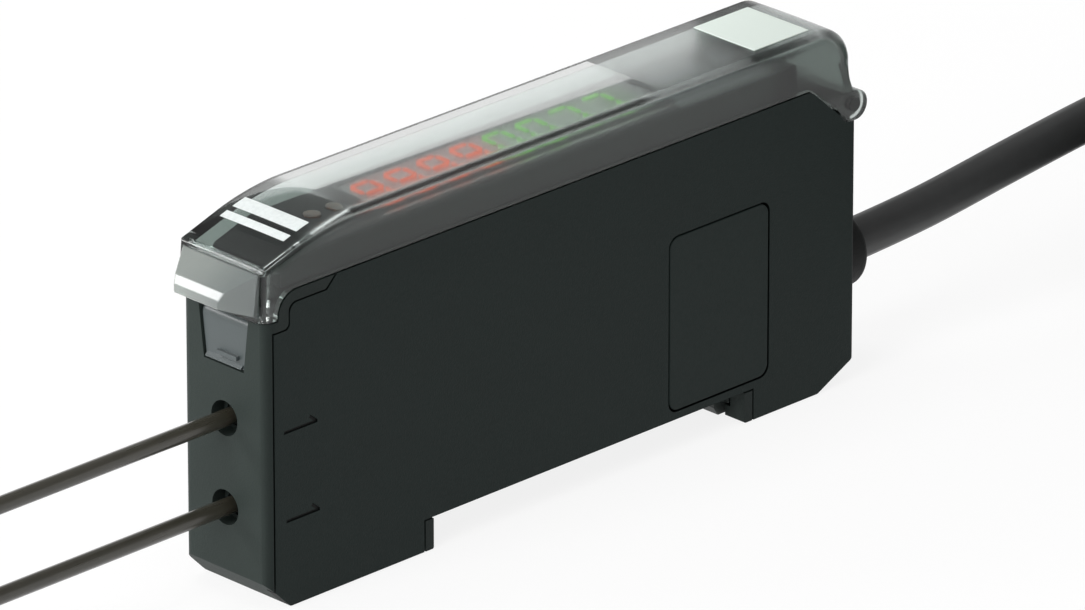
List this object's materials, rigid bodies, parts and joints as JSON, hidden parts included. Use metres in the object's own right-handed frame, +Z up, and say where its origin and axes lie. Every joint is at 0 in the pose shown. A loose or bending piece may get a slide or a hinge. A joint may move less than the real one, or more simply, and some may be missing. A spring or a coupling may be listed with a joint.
{
  "type": "fibre optic sensor amplifier",
  "caption": "Slim rail-mounted fibre optic sensor amplifier with a hinged see-through cover, a digital display, keys, a fibre lock lever and a spring hook.",
  "frame": {"origin": "middle of the seat that lies on the rail, half way across the unit", "axes": "+X from the fibre end to the cable end, +Y along the rail, +Z up from the rail to the cover"},
  "size_m": [0.236, 0.0391, 0.0319],
  "materials": {
    "case_black": "fine-grained moulded",
    "panel_black": "fine-grained moulded",
    "window_black": "smooth dark window",
    "cover_smoke": "clear smoke, polished",
    "label_white": "matte print",
    "panel_dark": "matte",
    "display_smoke": "dark filter",
    "chip_black": "moulded",
    "lens_amber": "clear tinted",
    "key_grey": "satin",
    "knob_white": "satin",
    "board_green": "solder mask",
    "switch_steel": "stamped",
    "emitter_red": "clear red",
    "receiver_dark": "dark clear",
    "lever_grey": "satin",
    "clamp_grey": "satin",
    "sleeve_black": "smooth",
    "hook_black": "moulded",
    "spring_steel": "drawn wire",
    "gland_rubber": "matte",
    "core_sheath": "smooth",
    "fibre_jacket": "smooth sheath",
    "head_steel": "turned",
    "cable_jacket": "matte sheath"
  },
  "bodies": {
    "case": {"main_case": "case_black", "side_panel": "panel_black", "link_window": "window_black", "link_window_far": "window_black", "operating_panel": "panel_dark", "display_window": "display_smoke", "display_module": "chip_black", "indicator_lenses": "lens_amber", "key_board": "board_green", "tact_switches": "switch_steel", "switch_base": "chip_black", "main_board": "board_green", "board_chips": "chip_black", "emitter_led": "emitter_red", "receiver_diode": "receiver_dark", "upper_sleeve": "sleeve_black", "lower_sleeve": "sleeve_black", "hook_spring": "spring_steel", "cable_gland": "gland_rubber", "cable_cores": "core_sheath", "upper_fibre": "fibre_jacket", "upper_fibre_coil": "fibre_jacket", "upper_fibre_head": "head_steel", "lower_fibre": "fibre_jacket", "lower_fibre_coil": "fibre_jacket", "lower_fibre_head": "head_steel", "output_cable": "cable_jacket", "output_cable_hank": "cable_jacket"},
    "cover": {"top_cover": "cover_smoke", "cover_label": "label_white"},
    "lever": {"lock_lever": "lever_grey"},
    "clamp": {"fibre_clamp": "clamp_grey"},
    "rocker": {"rocker_key": "key_grey"},
    "button": {"set_button": "key_grey"},
    "switch": {"mode_switch": "knob_white"},
    "hook": {"rail_hook": "hook_black"}
  },
  "joints": [
    {"name": "cover_hinge", "type": "hinge", "parent": "case", "child": "cover", "pos_m": [0.03045, 0, 0.0217], "axis": [0, 1, 0], "range_deg": [0, 120]},
    {"name": "lever_pivot", "type": "hinge", "parent": "case", "child": "lever", "pos_m": [-0.03475, 0, 0.0209], "axis": [0, 1, 0], "range_deg": [0, 35]},
    {"name": "clamp_slide", "type": "slide", "parent": "case", "child": "clamp", "axis": [0, 0, -1], "range_m": [0, 0.0006]},
    {"name": "rocker_tilt", "type": "hinge", "parent": "case", "child": "rocker", "pos_m": [0.01475, 0, 0.0253], "axis": [0, 1, 0], "range_deg": [-5, 5], "stiffness_Nm_per_rad": 0.02},
    {"name": "button_press", "type": "slide", "parent": "case", "child": "button", "axis": [0, 0, -1], "range_m": [0, 0.00025], "stiffness_N_per_m": 4000},
    {"name": "switch_slide", "type": "slide", "parent": "case", "child": "switch", "axis": [0, 1, 0], "range_m": [0, 0.0018]},
    {"name": "hook_slide", "type": "slide", "parent": "case", "child": "hook", "axis": [1, 0, 0], "range_m": [0, 0.0015], "stiffness_N_per_m": 2000, "deforming": ["hook_spring"]}
  ],
  "couplings": [
    {"joint": "lever_pivot", "follows": "clamp_slide", "rad_per_m": 1018.1}
  ]
}
